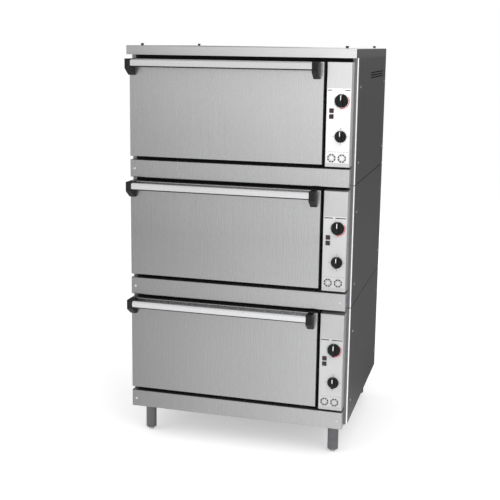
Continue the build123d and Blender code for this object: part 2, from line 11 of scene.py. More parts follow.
import bmesh
import bpy
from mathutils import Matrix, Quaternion, Vector


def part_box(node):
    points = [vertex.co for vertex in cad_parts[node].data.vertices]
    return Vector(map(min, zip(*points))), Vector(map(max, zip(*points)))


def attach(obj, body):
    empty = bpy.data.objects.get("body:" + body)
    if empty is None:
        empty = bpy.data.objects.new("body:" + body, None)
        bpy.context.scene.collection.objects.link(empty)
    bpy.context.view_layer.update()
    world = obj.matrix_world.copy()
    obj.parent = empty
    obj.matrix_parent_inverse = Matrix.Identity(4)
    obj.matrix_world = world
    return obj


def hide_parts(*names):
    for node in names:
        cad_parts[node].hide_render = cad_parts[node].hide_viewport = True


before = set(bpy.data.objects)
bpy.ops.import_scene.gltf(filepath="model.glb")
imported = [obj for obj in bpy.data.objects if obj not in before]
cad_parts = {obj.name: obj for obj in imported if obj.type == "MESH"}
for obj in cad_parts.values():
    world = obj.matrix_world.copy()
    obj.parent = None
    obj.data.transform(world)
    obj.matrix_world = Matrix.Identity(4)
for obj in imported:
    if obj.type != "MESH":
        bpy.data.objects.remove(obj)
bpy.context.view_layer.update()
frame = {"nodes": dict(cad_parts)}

log = logging.getLogger("roasting_cabinet")
CABINET = "cabinet"
TIERS = ("lower", "middle", "upper")
Colour = tuple[float, float, float]
NO_LIGHT: Colour = (0.0, 0.0, 0.0)

# Lengths of the left and right rule over a dial: the upper panel has short ones
SHORT_RULES = (0.014, 0.017)
LONG_RULES = (0.030, 0.038)

# Turn that makes a flat or round primitive, or a figure, face the front
FRONTWARDS = (math.pi / 2, 0, 0)

# Edges sharper than the first angle are rounded, and those flatter than the second are shaded smooth
ROUNDED_ANGLE = math.radians(35)
SMOOTH_ANGLE = math.radians(40)

# Share of a figure's size by which its strokes are thickened
LETTER_WEIGHT = 0.012

# Degrees in one step of a printed arc, and the fewest steps in any arc
ARC_STEP = 7.0
FEWEST_STEPS = 3
MERGE_DISTANCE = 1e-6

# Scale and weight of each layer of brushed scratches
GRAIN_LAYERS = ((1.0, 0.6), (0.27, 0.4))

# Noise shade where a smudge starts, and where it is full
SMUDGE_RANGE = (0.35, 0.68)

# Axis, socket, and the two places between which a painted shade or the mask of a painted shade changes
PAINTED_SHADE_RANGES = (("X", "Left", -0.45, 0.40), ("Z", "Low", 0.80, 1.30))
PAINTED_FACING_RANGES = (("Z", "Down", -0.10, -0.45), ("X", "Sideways", 0.55, 0.9))


class Axis(Enum):
    """Direction of a brushed grain, with the turn that lays its Z along it."""

    X = (0, math.pi / 2, 0)
    Y = (math.pi / 2, 0, 0)
    Z = (0, 0, 0)


class Ink(Enum):
    """Colours printed on the control plate."""

    BLACK = (0.012, 0.012, 0.013)
    RED = (0.68, 0.03, 0.07)
    TEAL = (0.02, 0.26, 0.20)
    GREY = (0.16, 0.16, 0.17)


# Scene tools


def deselect() -> None:
    """Leave edit mode and deselect everything."""
    if bpy.context.object and bpy.context.object.mode != "OBJECT":
        bpy.ops.object.mode_set(mode="OBJECT")
    bpy.ops.object.select_all(action="DESELECT")


def pick(piece: bpy.types.Object) -> None:
    """Make one object the only selected and active one."""
    deselect()
    piece.select_set(True)
    bpy.context.view_layer.objects.active = piece


def settle(name: str) -> bpy.types.Object:
    """Name the object just added and move its place into its mesh.

    Args:
        name: The piece's name.

    Returns:
        The settled object.
    """
    piece = bpy.context.active_object
    piece.name = name
    piece.data.name = name
    bpy.ops.object.transform_apply(location=True, rotation=True, scale=True)
    return piece


def slab(name: str, low: Vector, high: Vector) -> bpy.types.Object:
    """Add a block between two corners, to be shaped further.

    Args:
        name: The piece's name.
        low: Its lowest corner.
        high: Its highest corner.

    Returns:
        The block.
    """
    deselect()
    bpy.ops.mesh.primitive_cube_add(size=1, location=(low + high) / 2)
    bpy.context.active_object.scale = high - low
    return settle(name)


def drum(
    name: str, centre: Vector, radius: float, end_radius: float, depth: float, sides: int = 64
) -> bpy.types.Object:
    """Add a round or tapered body along Y, to be shaped further.

    Args:
        name: The piece's name.
        centre: Its middle.
        radius: Radius at the end with the larger Y.
        end_radius: Radius at the end that faces the viewer.
        depth: Length along Y.
        sides: Number of sides.

    Returns:
        The body.
    """
    deselect()
    bpy.ops.mesh.primitive_cone_add(
        vertices=sides, radius1=radius, radius2=end_radius, depth=depth, location=centre,
        rotation=FRONTWARDS,
    )
    return settle(name)


def modified(piece: bpy.types.Object, kind: str, **settings: object) -> bpy.types.Object:
    """Add one modifier and apply it.

    Args:
        piece: The object to change.
        kind: Blender's name of the modifier type.
        **settings: The modifier's own values.

    Returns:
        The same object.
    """
    pick(piece)
    modifier = piece.modifiers.new(kind.title(), kind)
    for key, value in settings.items():
        setattr(modifier, key, value)
    bpy.ops.object.modifier_apply(modifier=modifier.name)
    return piece


def softened(piece: bpy.types.Object, width: float, segments: int = 3) -> bpy.types.Object:
    """Round the sharp edges of a piece and smooth its shading.

    Args:
        piece: The object to change.
        width: Width of the rounding.
        segments: Number of faces across it.

    Returns:
        The same object.
    """
    modified(
        piece, "BEVEL", width=width, segments=segments, limit_method="ANGLE", angle_limit=ROUNDED_ANGLE
    )
    pick(piece)
    bpy.ops.object.shade_smooth_by_angle(angle=SMOOTH_ANGLE)
    return piece


def edit_part(
    piece: bpy.types.Object, wanted: Callable[[Vector], bool], action: Callable[[], object],
    mode: str = "FACE",
) -> None:
    """Run one edit-mode action on the faces or vertices that a test picks.

    Args:
        piece: The object to edit.
        wanted: Says of a face centre or a vertex whether it is selected.
        action: What to do with the selection.
        mode: FACE or VERT.
    """
    pick(piece)
    bpy.ops.object.mode_set(mode="EDIT")
    bpy.ops.mesh.select_mode(type=mode)
    bpy.ops.mesh.select_all(action="DESELECT")
    shape = bmesh.from_edit_mesh(piece.data)
    for item in shape.faces if mode == "FACE" else shape.verts:
        item.select_set(wanted(item.calc_center_median() if mode == "FACE" else item.co))
    shape.select_flush_mode()
    bmesh.update_edit_mesh(piece.data)
    action()
    bpy.ops.object.mode_set(mode="OBJECT")


def joined(name: str, pieces: Iterable[bpy.types.Object]) -> bpy.types.Object:
    """Join pieces into one object, each keeping its material.

    Args:
        name: The joined piece's name.
        pieces: The objects to join.

    Returns:
        The joined object.
    """
    pieces = list(pieces)
    pick(pieces[0])
    for piece in pieces:
        piece.select_set(True)
    bpy.ops.object.join()
    pieces[0].name = name
    pieces[0].data.name = name
    return pieces[0]


def dressed(piece: bpy.types.Object, material: bpy.types.Material) -> bpy.types.Object:
    """Give a new piece its one material.

    Args:
        piece: The object to dress.
        material: Its material.

    Returns:
        The same object.
    """
    piece.data.materials.clear()
    piece.data.materials.append(material)
    return piece


def lettering(text: str, centre: Vector, size: float, relief: float) -> bpy.types.Object:
    """Make a plain figure that faces the front.

    Args:
        text: The figure.
        centre: Its middle, on the face that carries it.
        size: Letter size.
        relief: Thickness of the print.

    Returns:
        The figure as a mesh.
    """
    deselect()
    bpy.ops.object.text_add(location=centre, rotation=FRONTWARDS)
    body = bpy.context.active_object.data
    body.body = text
    body.size = size
    body.align_x, body.align_y = "CENTER", "CENTER"
    body.extrude = relief / 2
    body.offset = size * LETTER_WEIGHT
    bpy.ops.object.convert(target="MESH")
    return settle("figure_" + text)


def arc_ribbon(
    centre: Vector, inner: float, outer: float, start: float, sweep: float, relief: float
) -> bpy.types.Object:
    """Make a flat printed arc that faces the front.

    Args:
        centre: Middle of the arc, on the face that carries it.
        inner: Inner radius.
        outer: Outer radius.
        start: Clock angle where the arc starts, in degrees from the top.
        sweep: Angle covered, clockwise, in degrees.
        relief: Thickness of the print.

    Returns:
        The arc as a closed mesh.
    """
    deselect()
    bpy.ops.mesh.primitive_plane_add(size=1, location=centre, rotation=FRONTWARDS)
    arc = settle("arc")
    pick(arc)
    bpy.ops.object.mode_set(mode="EDIT")
    bpy.ops.mesh.select_mode(type="VERT")
    shape = bmesh.from_edit_mesh(arc.data)
    low = [vertex for vertex in shape.verts if vertex.co.x < centre.x]
    bmesh.ops.delete(shape, geom=low, context="VERTS")
    angle = math.radians(start)
    direction = Vector((math.sin(angle), 0, math.cos(angle)))
    for vertex, radius in zip(shape.verts, (inner, outer)):
        vertex.co = centre + direction * radius
    bmesh.update_edit_mesh(arc.data)
    bpy.ops.mesh.select_all(action="SELECT")
    steps = max(FEWEST_STEPS, round(sweep / ARC_STEP))
    bpy.ops.mesh.spin(steps=steps, angle=-math.radians(sweep), center=centre, axis=(0, 1, 0))
    bpy.ops.mesh.select_all(action="SELECT")
    bpy.ops.mesh.remove_doubles(threshold=MERGE_DISTANCE)
    bpy.ops.mesh.normals_make_consistent(inside=False)
    bpy.ops.object.mode_set(mode="OBJECT")
    return modified(arc, "SOLIDIFY", thickness=relief, offset=0)


# Shared shader effects


def feed(tree: bpy.types.NodeTree, socket: bpy.types.NodeSocket, value: object) -> None:
    """Join an input to an output, or give it a plain value.

    Args:
        tree: The node tree that holds the input.
        socket: The input.
        value: An output socket, a number or a colour.
    """
    if isinstance(value, bpy.types.NodeSocket):
        tree.links.new(value, socket)
    else:
        socket.default_value = value


def math_node(
    tree: bpy.types.NodeTree, operation: str, first: object, second: object
) -> bpy.types.NodeSocket:
    """Add a Math node.

    Args:
        tree: The node tree to add to.
        operation: Blender's name of the operation.
        first: The first input, a socket or a number.
        second: The second input, a socket or a number.

    Returns:
        The node's output.
    """
    node = tree.nodes.new("ShaderNodeMath")
    node.operation = operation
    feed(tree, node.inputs[0], first)
    feed(tree, node.inputs[1], second)
    return node.outputs[0]


def split(tree: bpy.types.NodeTree, vector: bpy.types.NodeSocket) -> bpy.types.Node:
    """Add a node whose outputs are the X, Y and Z of a vector."""
    node = tree.nodes.new("ShaderNodeSeparateXYZ")
    tree.links.new(vector, node.inputs[0])
    return node


def mapped(
    tree: bpy.types.NodeTree, value: bpy.types.NodeSocket, start: float, end: float,
    low: object = 0.0, high: object = 1.0, smooth: bool = False,
) -> bpy.types.NodeSocket:
    """Map a value from one range to another, held at its ends.

    Args:
        tree: The node tree to add to.
        value: The value to map.
        start: The value that gives low.
        end: The value that gives high.
        low: The result at the start, a socket or a number.
        high: The result at the end, a socket or a number.
        smooth: Whether the change is eased at both ends.

    Returns:
        The mapped value.
    """
    node = tree.nodes.new("ShaderNodeMapRange")
    if smooth:
        node.interpolation_type = "SMOOTHSTEP"
    settings = {"Value": value, "From Min": start, "From Max": end, "To Min": low, "To Max": high}
    for label, setting in settings.items():
        feed(tree, node.inputs[label], setting)
    return node.outputs["Result"]


def noise(
    tree: bpy.types.NodeTree, place: bpy.types.NodeSocket, scale: bpy.types.NodeSocket, detail: float,
    roughness: float, distortion: float = 0.0,
) -> bpy.types.NodeSocket:
    """Add a noise texture.

    Args:
        tree: The node tree to add to.
        place: The coordinates to read.
        scale: How fine it is.
        detail: Number of finer layers.
        roughness: Weight of the finer layers.
        distortion: How much it is warped.

    Returns:
        Its shade from 0 to 1.
    """
    node = tree.nodes.new("ShaderNodeTexNoise")
    settings = {
        "Vector": place, "Scale": scale, "Detail": detail, "Roughness": roughness, "Distortion": distortion,
    }
    for label, setting in settings.items():
        feed(tree, node.inputs[label], setting)
    return node.outputs["Fac"]


def new_group(name: str, inputs: dict[str, float], outputs: Sequence[str]) -> bpy.types.NodeTree:
    """Start a shader node group that reads a place and some values.

    Args:
        name: The group's name.
        inputs: Default of each value by the name of its input.
        outputs: Names of its float outputs.

    Returns:
        The group, with its input and output nodes.
    """
    group = bpy.data.node_groups.new(name, "ShaderNodeTree")
    group.interface.new_socket("Vector", in_out="INPUT", socket_type="NodeSocketVector")
    for label, default in inputs.items():
        socket = group.interface.new_socket(label, in_out="INPUT", socket_type="NodeSocketFloat")
        socket.default_value = default
    for label in outputs:
        group.interface.new_socket(label, in_out="OUTPUT", socket_type="NodeSocketFloat")
    group.nodes.new("NodeGroupInput").name = "in"
    group.nodes.new("NodeGroupOutput").name = "out"
    return group


def brushed_group() -> bpy.types.NodeTree:
    """Make long fine scratches along Z, as a shade from 0 to 1 and a height.

    Returns:
        The node group.
    """
    group = new_group("brushed_grain", {"Fineness": 900, "Stretch": 40}, ["Shade", "Height"])
    source, sink = group.nodes["in"].outputs, group.nodes["out"].inputs
    parts = split(group, source["Vector"]).outputs
    pressed = group.nodes.new("ShaderNodeCombineXYZ")
    feed(group, pressed.inputs["X"], parts["X"])
    feed(group, pressed.inputs["Y"], parts["Y"])
    feed(group, pressed.inputs["Z"], math_node(group, "DIVIDE", parts["Z"], source["Stretch"]))
    total = 0.0
    for ratio, weight in GRAIN_LAYERS:
        scale = math_node(group, "MULTIPLY", source["Fineness"], ratio)
        layer = noise(group, pressed.outputs[0], scale, detail=2, roughness=0.6)
        total = math_node(group, "ADD", total, math_node(group, "MULTIPLY", layer, weight))
    feed(group, sink["Shade"], total)
    feed(group, sink["Height"], total)
    return group


def smudge_group() -> bpy.types.NodeTree:
    """Make large soft patches of handling and heat, as a mask from 0 to 1.

    Returns:
        The node group.
    """
    group = new_group("soft_smudges", {"Size": 6}, ["Mask"])
    source = group.nodes["in"].outputs
    shade = noise(group, source["Vector"], source["Size"], detail=5, roughness=0.55, distortion=0.4)
    feed(group, group.nodes["out"].inputs["Mask"], mapped(group, shade, *SMUDGE_RANGE))
    return group


def speckle_group() -> bpy.types.NodeTree:
    """Make a fine moulded or sprayed texture, as a height.

    Returns:
        The node group.
    """
    group = new_group("fine_speckle", {"Fineness": 1500}, ["Height"])
    source = group.nodes["in"].outputs
    cells = group.nodes.new("ShaderNodeTexVoronoi")
    cells.feature = "SMOOTH_F1"
    feed(group, cells.inputs["Vector"], source["Vector"])
    feed(group, cells.inputs["Scale"], source["Fineness"])
    feed(group, group.nodes["out"].inputs["Height"], cells.outputs["Distance"])
    return group


def painted_shade_group() -> bpy.types.NodeTree:
    """Make painted shade: a slow change of tone, darker to the left and lower down, from 0 to 1, standing
    in for the room's reflections.

    Returns:
        The node group.
    """
    group = new_group("slow_painted_shade", {"Left": 1, "Low": 1}, ["Factor"])
    source = group.nodes["in"].outputs
    parts = split(group, source["Vector"]).outputs
    total = 1.0
    for axis, label, start, end in PAINTED_SHADE_RANGES:
        share = mapped(group, parts[axis], start, end, low=source[label])
        total = math_node(group, "MULTIPLY", total, share)
    feed(group, group.nodes["out"].inputs["Factor"], total)
    return group


def painted_facing_group() -> bpy.types.NodeTree:
    """Mask from 0 to 1 the faces that look down, and those that look to the right, for painted shade on
    them.

    Returns:
        The node group.
    """
    group = new_group("painted_facing", {}, ["Down", "Sideways"])
    geometry = group.nodes.new("ShaderNodeNewGeometry")
    parts = split(group, geometry.outputs["True Normal"]).outputs
    for axis, label, start, end in PAINTED_FACING_RANGES:
        mask = mapped(group, parts[axis], start, end, smooth=True)
        feed(group, group.nodes["out"].inputs[label], mask)
    return group


GROUP_MAKERS = {
    "brushed": brushed_group, "smudge": smudge_group, "speckle": speckle_group,
    "painted_shade": painted_shade_group, "painted_facing": painted_facing_group,
}
GROUPS: dict[str, bpy.types.NodeTree] = {}


def shared_group(name: str) -> bpy.types.NodeTree:
    """Give a shared effect, built the first time it is asked for.

    Args:
        name: Its name in GROUP_MAKERS.

    Returns:
        The node group.
    """
    if name not in GROUPS:
        GROUPS[name] = GROUP_MAKERS[name]()
    return GROUPS[name]


class Bench:
    """A material under construction: one Principled shader and the nodes that feed it."""

    def __init__(self, name: str, colour: Colour, roughness: float, metallic: float) -> None:
        """Start a material with its plain values.

        Args:
            name: The material's name.
            colour: Base colour.
            roughness: Roughness.
            metallic: 1 for bare metal, 0 for the rest.
        """
        self.material = bpy.data.materials.new(name)
        self.material.use_nodes = True
        self.tree = self.material.node_tree
        self.shader = self.tree.nodes["Principled BSDF"]
        self.plain("Base Color", (*colour, 1))
        self.plain("Roughness", roughness)
        self.plain("Metallic", metallic)
        self.place = self.tree.nodes.new("ShaderNodeTexCoord").outputs["Object"]

    def plain(self, label: str, value: object) -> None:
        """Give one of the shader's inputs a plain value or another node's output."""
        feed(self.tree, self.shader.inputs[label], value)

    def effect(self, name: str, **values: float) -> bpy.types.bpy_prop_collection:
        """Place a shared effect.

        Args:
            name: The effect's name.
            **values: Its own values.

        Returns:
            The effect's outputs.
        """
        node = self.tree.nodes.new("ShaderNodeGroup")
        node.node_tree = shared_group(name)
        for label, value in {"Vector": self.place, **values}.items():
            feed(self.tree, node.inputs[label], value)
        return node.outputs

    def turned(self, axis: Axis) -> None:
        """Turn the coordinates so that their Z runs along a direction.

        Args:
            axis: The direction.
        """
        mapping = self.tree.nodes.new("ShaderNodeMapping")
        mapping.inputs["Rotation"].default_value = axis.value
        feed(self.tree, mapping.inputs["Vector"], self.place)
        self.place = mapping.outputs[0]

    def spread(self, mask: bpy.types.NodeSocket, low: float, high: float) -> bpy.types.NodeSocket:
        """Map a mask from 0..1 to a range of values."""
        return mapped(self.tree, mask, 0.0, 1.0, low, high)

    def blend(self, mask: bpy.types.NodeSocket, first: object, second: object) -> bpy.types.NodeSocket:
        """Mix two colours by a mask.

        Args:
            mask: 0 gives the first colour and 1 the second.
            first: A socket or a plain colour.
            second: A socket or a plain colour.

        Returns:
            The mixed colour.
        """
        node = self.tree.nodes.new("ShaderNodeMix")
        node.data_type = "RGBA"
        feed(self.tree, node.inputs["Factor"], mask)
        for socket, value in zip((node.inputs[6], node.inputs[7]), (first, second)):
            feed(self.tree, socket, (*value, 1) if isinstance(value, tuple) else value)
        return node.outputs[2]

    def relief(self, height: bpy.types.NodeSocket, strength: float, distance: float) -> None:
        """Feed a height to the shader's normal.

        Args:
            height: The height from 0 to 1.
            strength: How much of it shows.
            distance: The depth that a height of 1 stands for.
        """
        bump = self.tree.nodes.new("ShaderNodeBump")
        bump.inputs["Strength"].default_value = strength
        bump.inputs["Distance"].default_value = distance
        feed(self.tree, bump.inputs["Height"], height)
        self.plain("Normal", bump.outputs[0])


def shade_of(colour: Colour, factor: float) -> Colour:
    """Scale a colour's brightness."""
    return tuple(min(1.0, channel * factor) for channel in colour)


# Finishes


@dataclass(frozen=True)
class BrushedSteel:
    """Stainless sheet with a brushed grain, and with painted shade to the left, lower down and on faces
    that look down or to the right.
    """

    name: str
    colour: Colour
    roughness: float = 0.34
    grain: Axis = Axis.Z
    fineness: float = 700.0
    stretch: float = 45.0
    contrast: float = 0.10
    # Painted shade: share of the colour kept at the far left and at the bottom
    painted_left_shade: float = 1.0
    painted_low_shade: float = 1.0
    # Painted shade on faces that look down, and on faces that look to the right
    painted_under_shade: Colour | None = None
    painted_side_shade: Colour | None = None
    edge_tint: float = 1.0
    metallic: float = 0.9
    relief: float = 0.12
    grain_depth: float = 0.0004
    smoother: float = 0.05
    rougher: float = 0.07
    smudge_size: float = 3.2
    smudge_share: float = 0.25
    smudge_tone: float = 0.86

    def build(self) -> bpy.types.Material:
        """Make the material.

        Returns:
            The finished material.
        """
        bench = Bench(self.name, self.colour, self.roughness, self.metallic)
        painted_shade = bench.effect("painted_shade", Left=self.painted_left_shade, Low=self.painted_low_shade)
        painted_facing = bench.effect("painted_facing")
        bench.turned(self.grain)
        grain = bench.effect("brushed", Fineness=self.fineness, Stretch=self.stretch)
        smudges = bench.effect("smudge", Size=self.smudge_size)
        light, dark = shade_of(self.colour, 1 + self.contrast), shade_of(self.colour, 1 - self.contrast)
        tone = bench.blend(grain["Shade"], dark, light)
        smudged = bench.spread(smudges["Mask"], 0.0, self.smudge_share)
        tone = bench.blend(smudged, tone, shade_of(self.colour, self.smudge_tone))
        # Painted shade: the colour falls towards black to the left and lower down
        tone = bench.blend(painted_shade["Factor"], NO_LIGHT, tone)
        # Painted shade on faces that look down or to the right, chosen by their direction in the room
        for label, other in (("Down", self.painted_under_shade), ("Sideways", self.painted_side_shade)):
            if other:
                tone = bench.blend(painted_facing[label], tone, other)
        rough = bench.spread(grain["Shade"], self.roughness - self.smoother, self.roughness + self.rougher)
        bench.plain("Base Color", tone)
        bench.plain("Specular Tint", (self.edge_tint, self.edge_tint, self.edge_tint, 1))
        bench.plain("Roughness", rough)
        bench.relief(grain["Height"], self.relief, self.grain_depth)
        return bench.material


@dataclass(frozen=True)
class Moulded:
    """Black or coloured moulded plastic, rubber or paint with a fine texture."""

    name: str
    colour: Colour
    roughness: float = 0.42
    fineness: float = 1600.0
    relief: float = 0.10
    grain_depth: float = 0.0003
    coat: float = 0.0
    metallic: float = 0.0
    shine: float = 0.5
    smoother: float = 0.05
    rougher: float = 0.08
    smudge_size: float = 14.0
    smudge_tone: float = 1.35

    def build(self) -> bpy.types.Material:
        """Make the material.

        Returns:
            The finished material.
        """
        bench = Bench(self.name, self.colour, self.roughness, self.metallic)
        speckle = bench.effect("speckle", Fineness=self.fineness)
        mask = bench.effect("smudge", Size=self.smudge_size)["Mask"]
        rough = bench.spread(mask, self.roughness - self.smoother, self.roughness + self.rougher)
        bench.plain("Base Color", bench.blend(mask, self.colour, shade_of(self.colour, self.smudge_tone)))
        bench.plain("Roughness", rough)
        bench.plain("Specular IOR Level", self.shine)
        bench.plain("Coat Weight", self.coat)
        bench.relief(speckle["Height"], self.relief, self.grain_depth)
        return bench.material


@dataclass(frozen=True)
class Printed:
    """Flat ink on the control plate, a little uneven."""

    name: str
    colour: Colour
    smoothest: float = 0.42
    roughest: float = 0.56
    smudge_size: float = 160.0
    smudge_tone: float = 1.25

    def build(self) -> bpy.types.Material:
        """Make the material.

        Returns:
            The finished material.
        """
        bench = Bench(self.name, self.colour, self.roughest, 0.0)
        mask = bench.effect("smudge", Size=self.smudge_size)["Mask"]
        bench.plain("Base Color", bench.blend(mask, self.colour, shade_of(self.colour, self.smudge_tone)))
        bench.plain("Roughness", bench.spread(mask, self.smoothest, self.roughest))
        return bench.material


@dataclass(frozen=True)
class Woven:
    """Rope seal or mineral wool: crossed strands with a fuzzy height, and painted shade in the hollows
    between them.
    """

    name: str
    colour: Colour
    pitch: float
    roughness: float = 0.85
    warp: float = 1.5
    painted_hollow_tone: float = 0.6
    relief: float = 0.5
    strand_depth: float = 0.001

    def build(self) -> bpy.types.Material:
        """Make the material.

        Returns:
            The finished material.
        """
        bench = Bench(self.name, self.colour, self.roughness, 0.0)
        weave = 1.0
        for direction in ("X", "Z"):
            wave = bench.tree.nodes.new("ShaderNodeTexWave")
            wave.bands_direction = direction
            wave.inputs["Scale"].default_value = self.pitch
            wave.inputs["Distortion"].default_value = self.warp
            feed(bench.tree, wave.inputs["Vector"], bench.place)
            weave = math_node(bench.tree, "MULTIPLY", weave, wave.outputs["Fac"])
        # Painted shade in the hollows between strands
        painted_hollow = shade_of(self.colour, self.painted_hollow_tone)
        bench.plain("Base Color", bench.blend(weave, painted_hollow, self.colour))
        bench.relief(weave, self.relief, self.strand_depth)
        return bench.material


@dataclass(frozen=True)
class FrameBars:
    """Front frame with light painted by place: a painted shadow, near black, behind the doors, painted
    shade beside the panels and a painted highlight on the rounded corner.
    """

    name: str = "frame_bars_painted_light"
    # Painted shadow behind the doors, painted shade beside the panels and a painted highlight on the corner
    painted_gap_shadow: Colour = (0.008, 0.008, 0.008)
    strip: Colour = (0.19, 0.19, 0.195)
    corner: Colour = (0.92, 0.92, 0.93)
    strip_start: float = 0.396
    corner_start: float = 0.4112
    blur: float = 0.0006
    roughness: float = 0.36
    metallic: float = 0.7
    shine: float = 0.1
    fineness: float = 700.0
    stretch: float = 45.0
    contrast: float = 0.15
    relief: float = 0.1
    grain_depth: float = 0.0004

    def build(self) -> bpy.types.Material:
        """Make the material.

        Returns:
            The finished material.
        """
        bench = Bench(self.name, self.strip, self.roughness, self.metallic)
        across = math_node(bench.tree, "ABSOLUTE", split(bench.tree, bench.place).outputs["X"], 0.0)
        grain = bench.effect("brushed", Fineness=self.fineness, Stretch=self.stretch)
        dark, light = shade_of(self.strip, 1 - self.contrast), shade_of(self.strip, 1 + self.contrast)
        tone = bench.blend(grain["Shade"], dark, light)
        # Painted shadow behind the doors, then the painted highlight on the corner, by distance from the
        # middle
        tone = bench.blend(self.beyond(bench, across, self.strip_start), self.painted_gap_shadow, tone)
        tone = bench.blend(self.beyond(bench, across, self.corner_start), tone, self.corner)
        bench.plain("Base Color", tone)
        bench.plain("Specular IOR Level", self.shine)
        bench.relief(grain["Height"], self.relief, self.grain_depth)
        return bench.material

    def beyond(self, bench: Bench, across: bpy.types.NodeSocket, start: float) -> bpy.types.NodeSocket:
        """Make a mask that is 1 beyond a distance from the middle."""
        return mapped(bench.tree, across, start - self.blur, start + self.blur)


Finish = BrushedSteel | Moulded | Printed | Woven | FrameBars

FRAME_BARS = FrameBars()
# Doors and aprons: painted shade, darker to the left and lower down
FRONT_STEEL = BrushedSteel(
    "front_steel", (0.64, 0.64, 0.645), roughness=0.26, contrast=0.08, painted_left_shade=0.50, painted_low_shade=0.70
)
# Handle bars: painted shade to the left, and a painted shadow, near black, on the underside
BAR_STEEL = BrushedSteel(
    "bar_steel", (0.70, 0.70, 0.71), roughness=0.24, grain=Axis.X, painted_left_shade=0.8,
    painted_under_shade=(0.02, 0.02, 0.02),
)
# Control panels: painted shade, darker lower down
PANEL_STEEL = BrushedSteel("panel_steel", (0.67, 0.67, 0.67), contrast=0.08, painted_low_shade=0.70, metallic=0.5)
# Sides, back and louvres: steel whose dark tone is painted shade
SHADED_SIDE_STEEL = BrushedSteel(
    "shaded_side_steel", (0.25, 0.242, 0.246), roughness=0.36, contrast=0.35, fineness=420.0, edge_tint=0.6
)
# Top cover: painted shade to the left, and painted shade on its right side
COVER_STEEL = BrushedSteel(
    "cover_steel", (0.78, 0.78, 0.785), grain=Axis.X, painted_left_shade=0.42, painted_side_shade=(0.2, 0.2, 0.2)
)
OVEN_STEEL = BrushedSteel("oven_steel", (0.42, 0.42, 0.42), roughness=0.4, grain=Axis.Y, contrast=0.12)
ZINC = BrushedSteel("zinc_plate", (0.55, 0.56, 0.58), roughness=0.32, fineness=300, contrast=0.05)
SHEATH = BrushedSteel("element_sheath", (0.09, 0.08, 0.08), roughness=0.5, grain=Axis.Y, contrast=0.2)
WIRE = BrushedSteel("plated_wire", (0.72, 0.72, 0.73), roughness=0.18, contrast=0.04)
SCREW = BrushedSteel("bright_screw", (0.60, 0.60, 0.61), roughness=0.22, fineness=400, contrast=0.04)
# Control plates: white, with painted shade lower down
PLATE_WHITE = BrushedSteel(
    "plate_white", (0.93, 0.93, 0.93), roughness=0.46, contrast=0.05, painted_low_shade=0.57, metallic=0.0,
    relief=0.02,
)
LEG_PAINT = Moulded("leg_paint", (0.095, 0.095, 0.10), roughness=0.38, metallic=0.3)
STUD_BLACK = Moulded("blackened_stud", (0.02, 0.02, 0.02), roughness=0.5, metallic=0.6)
BLACK_PLASTIC = Moulded("black_plastic", (0.005, 0.005, 0.0055), shine=0.25)
KNOB_BLACK = Moulded("knob_black", (0.006, 0.006, 0.0065), roughness=0.34, shine=0.2)
POINTER_WHITE = Moulded("pointer_white", (0.85, 0.85, 0.84), roughness=0.45)
LAMP_LENS = Moulded("lamp_lens", (0.030, 0.010, 0.010), roughness=0.16, coat=0.2)
SEAL_ROPE = Woven("seal_rope", (0.06, 0.06, 0.06), pitch=260)
WOOL = Woven("mineral_wool", (0.70, 0.62, 0.38), pitch=90)

# Finish of each node by the start of its name
NODE_FINISHES = {
    "casing": SHADED_SIDE_STEEL, "front_frame": FRAME_BARS, "back_panel": SHADED_SIDE_STEEL, "oven_chamber": OVEN_STEEL,
    "heating_elements": SHEATH, "wire_shelf": WIRE, "apron": FRONT_STEEL, "control_panel": PANEL_STEEL,
    "thermostat_knob": KNOB_BLACK, "switch_knob": KNOB_BLACK, "door_skin": FRONT_STEEL,
    "door_liner": OVEN_STEEL, "handle_bar": BAR_STEEL, "handle_brackets": BLACK_PLASTIC,
    "insulation": WOOL, "shelf_runners": OVEN_STEEL, "door_seals": SEAL_ROPE, "hinge_arms": ZINC,
    "hinge_pins": ZINC, "pilot_lamps": LAMP_LENS, "thermostats": ZINC, "mode_switches": BLACK_PLASTIC,
    "panel_screws": SCREW, "cable_gland": BLACK_PLASTIC, "top_cover": COVER_STEEL,
    "cover_studs": STUD_BLACK, "base_plate": LEG_PAINT, "legs": LEG_PAINT, "levelling_foot": ZINC,
}


class Finishes:
    """Builds each finish once and hands out its material."""

    def __init__(self) -> None:
        """Start with no material built."""
        self.made: dict[str, bpy.types.Material] = {}

    def of(self, finish: Finish) -> bpy.types.Material:
        """Give the material of a finish.

        Args:
            finish: The finish wanted.

        Returns:
            Its material, built on first use.
        """
        if finish.name not in self.made:
            self.made[finish.name] = finish.build()
        return self.made[finish.name]

    def ink(self, ink: Ink) -> bpy.types.Material:
        """Give the material of a printing ink."""
        return self.of(Printed("ink_" + ink.name.lower(), ink.value))

    def dress_frame(self, nodes: dict[str, bpy.types.Object]) -> int:
        """Give every node of the frame its finish.

        Args:
            nodes: The frame's nodes by name.

        Returns:
            How many nodes were dressed.
        """
        for name, node in nodes.items():
            finish = next(finish for start, finish in NODE_FINISHES.items() if name.startswith(start))
            if not node.material_slots:
                node.data.materials.append(None)
            for entry in node.material_slots:
                entry.material = self.of(finish)
        return len(nodes)


# Sub-assemblies


